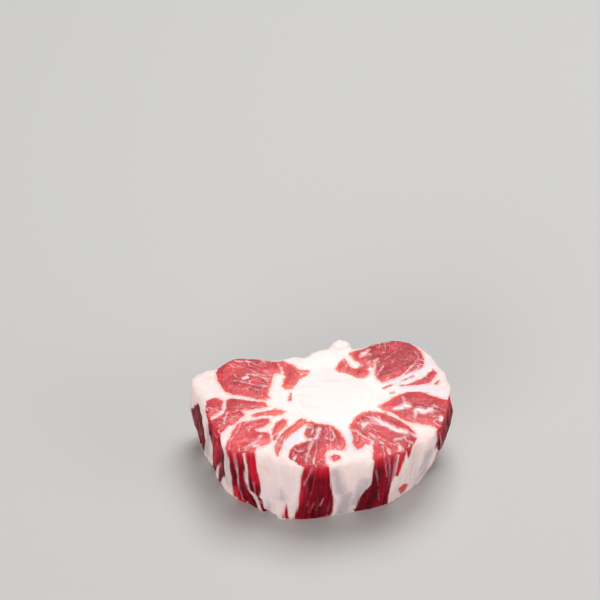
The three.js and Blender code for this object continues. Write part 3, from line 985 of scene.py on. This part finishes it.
    red = add(
        tree,
        "ShaderNodeMix",
        {0: middling, 6: settings.lean_deep, 7: settings.lean_colour},
        output=2,
        data_type="RGBA",
    )
    red = add(
        tree, "ShaderNodeMix", {0: bright, 6: red, 7: settings.lean_bright}, output=2, data_type="RGBA"
    )
    red = add(tree, "ShaderNodeMix", {0: pale, 6: red, 7: linear("#EE9C98")}, output=2, data_type="RGBA")
    warm = add(
        tree,
        "ShaderNodeMapRange",
        {"Value": depth, "From Min": 2.6, "From Max": 0.2, "To Max": 0.75},
        interpolation_type="SMOOTHSTEP",
    )
    inner = add(tree, "ShaderNodeMath", {0: 1.0, 1: outward}, operation="SUBTRACT")
    warm = add(tree, "ShaderNodeMath", {0: warm, 1: inner}, operation="MULTIPLY")
    red = add(tree, "ShaderNodeMix", {0: warm, 6: red, 7: linear("#EF7462")}, output=2, data_type="RGBA")
    # Painted light: the muscle of the sides turns brighter red towards the top, as if lit from above; the listed places
    # add brighter red streaks
    brighter_red = add(
        tree,
        "ShaderNodeMapRange",
        {"Value": height, "From Min": 28.0, "From Max": 37.0},
        interpolation_type="SMOOTHSTEP",
    )
    streaks = add(
        tree, "ShaderNodeTexNoise", {"Vector": threads, "Scale": 1 / 2.2, "Detail": 3.0, "Roughness": 0.6}
    )
    stained = add(tree, "ShaderNodeMath", {0: streaks, 1: 0.9, 2: 0.2}, operation="MULTIPLY_ADD")
    brighter_red = add(tree, "ShaderNodeMath", {0: stained, 1: brighter_red}, operation="MULTIPLY")
    brighter = add(tree, "ShaderNodeMath", {0: streaks, 1: 1.2, 2: 0.1}, operation="MULTIPLY_ADD")
    brighter = add(tree, "ShaderNodeMath", {0: brighter, 1: brighter_red_places}, operation="MULTIPLY")
    brighter_red = add(tree, "ShaderNodeMath", {0: brighter_red, 1: brighter}, operation="MAXIMUM")
    dark = add(
        tree,
        "ShaderNodeMapRange",
        {"Value": streaks, "From Min": 0.35, "From Max": 0.65},
        interpolation_type="SMOOTHSTEP",
    )
    crimson = add(
        tree, "ShaderNodeMix", {0: dark, 6: linear("#4C000D"), 7: settings.lean_side}, output=2, data_type="RGBA"
    )
    crimson = add(
        tree, "ShaderNodeMix", {0: brighter_red, 6: crimson, 7: linear("#DE1B34")}, output=2, data_type="RGBA"
    )
    newly = add(
        tree,
        "ShaderNodeMapRange",
        {"Value": height, "From Min": 34.5, "From Max": 38.0, "To Max": 0.8},
        interpolation_type="SMOOTHSTEP",
    )
    crimson = add(
        tree, "ShaderNodeMix", {0: newly, 6: crimson, 7: settings.lean_colour}, output=2, data_type="RGBA"
    )
    scrap = add(tree, "ShaderNodeMapRange", {"Value": tone, "From Min": 1.0, "From Max": 2.0, "To Max": 0.7})
    crimson = add(
        tree, "ShaderNodeMix", {0: scrap, 6: crimson, 7: linear("#EE6450")}, output=2, data_type="RGBA"
    )
    hairs = add(
        tree, "ShaderNodeTexNoise", {"Vector": threads, "Scale": 1 / 0.9, "Detail": 2.0, "Roughness": 0.5}
    )
    hairs = add(
        tree,
        "ShaderNodeMapRange",
        {"Value": hairs, "From Min": 0.6, "From Max": 0.74, "To Max": 0.2},
        interpolation_type="SMOOTHSTEP",
    )
    crimson = add(
        tree, "ShaderNodeMix", {0: hairs, 6: crimson, 7: linear("#C87880")}, output=2, data_type="RGBA"
    )
    red = add(tree, "ShaderNodeMix", {0: cut, 6: crimson, 7: red}, output=2, data_type="RGBA")
    red = add(tree, "ShaderNodeMix", {0: veins, 6: red, 7: linear("#F2CFC9")}, output=2, data_type="RGBA")

    tissue = add(
        tree,
        "ShaderNodeMix",
        {0: whiter, 6: linear("#EAAAAE"), 7: linear("#F8E6E4")},
        output=2,
        data_type="RGBA",
    )
    tissue = add(
        tree, "ShaderNodeMix", {0: cut, 6: linear("#C8808A"), 7: tissue}, output=2, data_type="RGBA"
    )
    faint = add(
        tree, "ShaderNodeTexNoise", {"Vector": fibres, "Scale": 1 / 2.4, "Detail": 3.0, "Roughness": 0.6}
    )
    faint = add(
        tree, "ShaderNodeMapRange", {"Value": faint, "From Min": 0.36, "From Max": 0.6, "To Min": 0.3}
    )
    faint = add(tree, "ShaderNodeMath", {0: faint, 1: whiter}, operation="MAXIMUM")
    sheets = add(tree, "ShaderNodeMath", {0: sheets, 1: faint}, operation="MULTIPLY")
    red = add(tree, "ShaderNodeMix", {0: sheets, 6: red, 7: tissue}, output=2, data_type="RGBA")

    # Fat: nearly white where it is sawn, pinker beside the muscles, streaked and greyer on the sides, with painted
    # light that whitens the sides towards the top
    lying = add(tree, "ShaderNodeMapping", {"Vector": section, "Scale": (1, 1, 0.35)})
    blotches = add(
        tree, "ShaderNodeTexNoise", {"Vector": lying, "Scale": 1 / 4.0, "Detail": 4.0, "Roughness": 0.6}
    )
    blotches = add(
        tree,
        "ShaderNodeMapRange",
        {"Value": blotches, "From Min": 0.35, "From Max": 0.7},
        interpolation_type="SMOOTHSTEP",
    )
    warmth = add(tree, "ShaderNodeTexNoise", {"Vector": section, "Scale": 1 / 11.0, "Detail": 2.0})
    warmth = add(
        tree,
        "ShaderNodeMapRange",
        {"Value": warmth, "From Min": 0.5, "From Max": 0.68, "To Max": 0.6},
        interpolation_type="SMOOTHSTEP",
    )
    side = add(
        tree,
        "ShaderNodeMix",
        {0: blotches, 6: settings.fat_side, 7: linear("#E6D3D4")},
        output=2,
        data_type="RGBA",
    )
    bands = add(
        tree, "ShaderNodeTexNoise", {"Vector": threads, "Scale": 1 / 1.3, "Detail": 3.0, "Roughness": 0.6}
    )
    bands = add(
        tree, "ShaderNodeMapRange", {"Value": bands, "From Min": 0.45, "From Max": 0.7, "To Max": 0.28}
    )
    side = add(tree, "ShaderNodeMix", {0: bands, 6: side, 7: linear("#D8BDBF")}, output=2, data_type="RGBA")
    side = add(
        tree, "ShaderNodeMix", {0: warmth, 6: side, 7: linear("#F3DBD2")}, output=2, data_type="RGBA"
    )
    peach = add(
        tree,
        "ShaderNodeMapRange",
        {"Value": peach, "From Min": 1.6, "From Max": -1.6, "To Max": 0.7},
        interpolation_type="SMOOTHSTEP",
    )
    side = add(tree, "ShaderNodeMix", {0: peach, 6: side, 7: linear("#EFCDB8")}, output=2, data_type="RGBA")
    sawn = add(
        tree,
        "ShaderNodeMix",
        {0: outward, 6: linear("#F6EEEA"), 7: settings.fat_colour},
        output=2,
        data_type="RGBA",
    )
    veils = add(tree, "ShaderNodeMapRange", {"Value": blotches, "To Max": 0.45})
    veils = add(tree, "ShaderNodeMath", {0: veils, 1: outward}, operation="MULTIPLY")
    sawn = add(tree, "ShaderNodeMix", {0: veils, 6: sawn, 7: linear("#F2D0CC")}, output=2, data_type="RGBA")
    # Painted light: towards the top of the sides the fat takes the whiter sawn colour, as if lit from above
    painted_top_light = add(
        tree,
        "ShaderNodeMapRange",
        {"Value": height, "From Min": 29.0, "From Max": 38.0},
        interpolation_type="SMOOTHSTEP",
    )
    painted_top_light = add(tree, "ShaderNodeMath", {0: painted_top_light, 1: cut}, operation="MAXIMUM")
    white = add(tree, "ShaderNodeMix", {0: painted_top_light, 6: side, 7: sawn}, output=2, data_type="RGBA")
    pinker = add(
        tree,
        "ShaderNodeMapRange",
        {"Value": depth, "From Min": -1.6, "From Max": 0.0, "To Min": 0.04, "To Max": 0.55},
        interpolation_type="SMOOTHSTEP",
    )
    uneven = add(tree, "ShaderNodeMapRange", {"Value": blotches, "To Min": 0.4})
    pinker = add(tree, "ShaderNodeMath", {0: pinker, 1: uneven}, operation="MULTIPLY")
    white = add(
        tree, "ShaderNodeMix", {0: pinker, 6: white, 7: linear("#EDB9B4")}, output=2, data_type="RGBA"
    )
    # On the cut face this is the bluish tendon; on the sides it is painted shade in the fat's hollows, with a few lilac
    # stripes
    bluish_and_shade = add(
        tree,
        "ShaderNodeMapRange",
        {"Value": tendon_and_shade, "From Min": 3.0, "From Max": -2.4, "To Max": 0.75},
        interpolation_type="SMOOTHSTEP",
    )
    cool_tendon_and_shade = add(
        tree,
        "ShaderNodeMix",
        {0: cut, 6: linear("#AC9EA6"), 7: linear("#DBDEE8")},
        output=2,
        data_type="RGBA",
    )
    white = add(tree, "ShaderNodeMix", {0: bluish_and_shade, 6: white, 7: cool_tendon_and_shade}, output=2, data_type="RGBA")

    colour = add(tree, "ShaderNodeMix", {0: muscle, 6: white, 7: red}, output=2, data_type="RGBA")

    # Moist surface with a fine uneven grain
    roughness = add(
        tree,
        "ShaderNodeMapRange",
        {"Value": mottle, "From Min": 0.3, "From Max": 0.7, "To Min": 0.3, "To Max": 0.46},
    )
    grain = add(
        tree, "ShaderNodeTexNoise", {"Vector": fibres, "Scale": 1 / 0.8, "Detail": 3.0, "Roughness": 0.6}
    )
    bump = add(tree, "ShaderNodeBump", {"Height": grain, "Strength": 0.6, "Distance": 0.3 * MM})
    wet = add(tree, "ShaderNodeMapRange", {"Value": cut, "To Min": 0.03, "To Max": 0.4})
    shader = add(
        tree,
        "ShaderNodeBsdfPrincipled",
        {
            "Base Color": colour,
            "Roughness": roughness,
            "IOR": 1.4,
            "Specular IOR Level": 0.06,
            "Subsurface Weight": 0.3,
            "Subsurface Radius": (1.0, 0.4, 0.35),
            "Subsurface Scale": 1.1 * MM,
            "Coat Weight": wet,
            "Coat Roughness": 0.13,
            "Coat Normal": bump,
            "Normal": bump,
        },
    )
    add(tree, "ShaderNodeOutputMaterial", {"Surface": shader})
    return material


def sawn_cartilage(settings):
    """Sawn cartilage: smooth, moist and off white, with faint pink where blood stained it."""
    material, tree = new_material("sawn cartilage")
    place = add(tree, "ShaderNodeTexCoord", output="Object")
    streaks = add(
        tree, "ShaderNodeMapping", {"Vector": place, "Scale": (1 / (12 * MM), 1 / (2.6 * MM), 1 / (20 * MM))}
    )
    stain = add(tree, "ShaderNodeTexNoise", {"Vector": streaks, "Scale": 1.0, "Detail": 3.0})
    stain = add(
        tree,
        "ShaderNodeMapRange",
        {"Value": stain, "From Min": 0.5, "From Max": 0.72, "To Max": 0.4},
        interpolation_type="SMOOTHSTEP",
    )
    colour = add(
        tree, "ShaderNodeMix", {0: stain, 6: settings.colour, 7: linear("#F2D4CD")}, output=2, data_type="RGBA"
    )
    # The disc fades into the fat round it over its last 2 mm
    oval = add(
        tree,
        "ShaderNodeMapping",
        {
            "Vector": place,
            "Location": (-BONE_X / BONE_RADIUS, -BONE_Y * BONE_STRETCH / BONE_RADIUS, 0),
            "Scale": (1 / (BONE_RADIUS * MM), BONE_STRETCH / (BONE_RADIUS * MM), 0),
        },
    )
    reach = add(tree, "ShaderNodeVectorMath", {0: oval}, output="Value", operation="LENGTH")
    edge = add(
        tree,
        "ShaderNodeMapRange",
        {"Value": reach, "From Min": 0.88, "From Max": 1.02},
        interpolation_type="SMOOTHSTEP",
    )
    colour = add(
        tree, "ShaderNodeMix", {0: edge, 6: colour, 7: settings.edge_colour}, output=2, data_type="RGBA"
    )
    grain = add(tree, "ShaderNodeTexNoise", {"Vector": place, "Scale": 1 / (1.2 * MM), "Detail": 3.0})
    bump = add(tree, "ShaderNodeBump", {"Height": grain, "Strength": 0.3, "Distance": 0.2 * MM})
    shader = add(
        tree,
        "ShaderNodeBsdfPrincipled",
        {
            "Base Color": colour,
            "Roughness": 0.4,
            "IOR": 1.45,
            "Subsurface Weight": 0.25,
            "Subsurface Radius": (1.0, 0.8, 0.7),
            "Subsurface Scale": 1.2 * MM,
            "Normal": bump,
        },
    )
    add(tree, "ShaderNodeOutputMaterial", {"Surface": shader})
    return material


def pale_floor():
    """A matt pale grey studio floor."""
    material, tree = new_material("pale floor")
    shader = add(
        tree, "ShaderNodeBsdfPrincipled", {"Base Color": linear("#C6C5C3"), "Roughness": 0.8}
    )
    add(tree, "ShaderNodeOutputMaterial", {"Surface": shader})
    return material


# Operators


class OXTAIL_OT_flesh(bpy.types.Operator):
    """Models the muscles and the fat round the vertebra."""

    bl_idname = "oxtail.flesh"
    bl_label = "Muscles and fat"

    def execute(self, context):
        settings = context.scene.oxtail_flesh
        flesh = build_flesh(settings)
        shape_flesh(flesh, settings)
        finish_piece(flesh, raw_beef(settings), "lean", "fat", *MUSCLES)
        return {"FINISHED"}


class OXTAIL_OT_vertebra(bpy.types.Operator):
    """Models the vertebra with its disc of cartilage."""

    bl_idname = "oxtail.vertebra"
    bl_label = "Vertebra"

    def execute(self, context):
        settings = context.scene.oxtail_bone
        bone = merged_copy("vertebra", 0.2 * MM)
        bone.name = bone.data.name = "vertebra_disc"
        remesh(bone, 0.6 * MM)
        activate(bone)
        bpy.ops.object.mode_set(mode="EDIT")
        bpy.ops.mesh.select_all(action="SELECT")
        bpy.ops.mesh.vertices_smooth(factor=0.5, repeat=3)
        bpy.ops.object.mode_set(mode="OBJECT")
        points = read(bone, "co", 3) / MM
        lip = settings.lip / MM
        widen = smooth_step(THICKNESS - 2.2, THICKNESS - 0.5, points[:, 2]) * lip / BONE_RADIUS
        widen += smooth_step(-1.8, -0.6, -points[:, 2]) * 1.4 / BONE_RADIUS
        centre = np.array((BONE_X, BONE_Y, 0))
        moved = points + (points - centre) * (1, 1, 0) * widen[:, None]
        away = from_bone(moved) / (BONE_RADIUS + lip)
        top = smooth_step(THICKNESS - 1, THICKNESS - 0.3, points[:, 2])
        sink = 0.12 - 0.45 * smooth_step(BONE_RADIUS, BONE_RADIUS + lip, from_bone(moved))
        swell = settings.dome / MM * (1 - away**2) + 0.1 * noise_at(points, (9, 4, 9), 1)
        moved[:, 2] += top * (swell + sink)
        under = 0.3 * smooth_step(BONE_RADIUS + 0.3, BONE_RADIUS + 1.4, from_bone(moved))
        moved[:, 2] = np.where(points[:, 2] < 0.7, under, moved[:, 2])
        bone.data.vertices.foreach_set("co", (moved * MM).ravel())
        bone.data.update()
        finish_piece(bone, sawn_cartilage(settings), "bone", "vertebra")
        return {"FINISHED"}


class OXTAIL_OT_stage(bpy.types.Operator):
    """Sets the floor, the lights and the camera."""

    bl_idname = "oxtail.stage"
    bl_label = "Stage"

    def execute(self, context):
        deselect_all()
        bpy.ops.mesh.primitive_plane_add(size=6)
        floor = context.object
        floor.name = "floor"
        floor.data.materials.append(pale_floor())
        lights = (
            ("softbox above", (0.15, 0.45, 1.2), 0.7, 11.5),
            ("fill from the front left", (-0.8, -1.4, 0.45), 1.2, 17),
            ("fill from the right", (1.3, -0.5, 0.5), 0.8, 5),
        )
        for name, place, size, power in lights:
            lamp = bpy.data.lights.new(name, "AREA")
            lamp.shape = "SQUARE"
            lamp.size = size
            lamp.energy = power
            holder = bpy.data.objects.new(name, lamp)
            holder.location = place
            holder.rotation_euler = (-Vector(place)).to_track_quat("-Z", "Y").to_euler()
            context.collection.objects.link(holder)
        world = bpy.data.worlds.new("studio")
        world.use_nodes = True
        background = world.node_tree.nodes["Background"]
        background.inputs["Color"].default_value = linear("#F2F2F2")
        background.inputs["Strength"].default_value = 0.34
        context.scene.world = world
        context.scene.view_settings.view_transform = "Standard"
        eye = bpy.data.cameras.new("camera")
        eye.angle = CAMERA_FIELD
        camera = bpy.data.objects.new("camera", eye)
        camera.location = CAMERA_PLACE
        camera.rotation_euler = (CAMERA_TILT, 0, 0)
        context.collection.objects.link(camera)
        context.scene.camera = camera
        return {"FINISHED"}


class OXTAIL_PT_panel(bpy.types.Panel):
    """Lists the pieces of the slice."""

    bl_idname = "OXTAIL_PT_panel"
    bl_label = "Oxtail slice"
    bl_space_type = "VIEW_3D"
    bl_region_type = "UI"
    bl_category = "Oxtail"

    def draw(self, context):
        for group in (context.scene.oxtail_flesh, context.scene.oxtail_bone):
            for name in group.bl_rna.properties.keys():
                if name not in ("rna_type", "name"):
                    self.layout.prop(group, name)
        for operator in OPERATORS:
            self.layout.operator(operator.bl_idname)


OPERATORS = (OXTAIL_OT_flesh, OXTAIL_OT_vertebra, OXTAIL_OT_stage)
CLASSES = (OxtailFlesh, OxtailBone, *OPERATORS, OXTAIL_PT_panel)


def register():
    for cls in CLASSES:
        bpy.utils.register_class(cls)
    bpy.types.Scene.oxtail_flesh = bpy.props.PointerProperty(type=OxtailFlesh)
    bpy.types.Scene.oxtail_bone = bpy.props.PointerProperty(type=OxtailBone)


def unregister():
    del bpy.types.Scene.oxtail_flesh
    del bpy.types.Scene.oxtail_bone
    for cls in reversed(CLASSES):
        bpy.utils.unregister_class(cls)


def main():
    register()
    bpy.ops.oxtail.flesh()
    bpy.ops.oxtail.vertebra()
    bpy.ops.oxtail.stage()


if __name__ == "__main__":
    main()
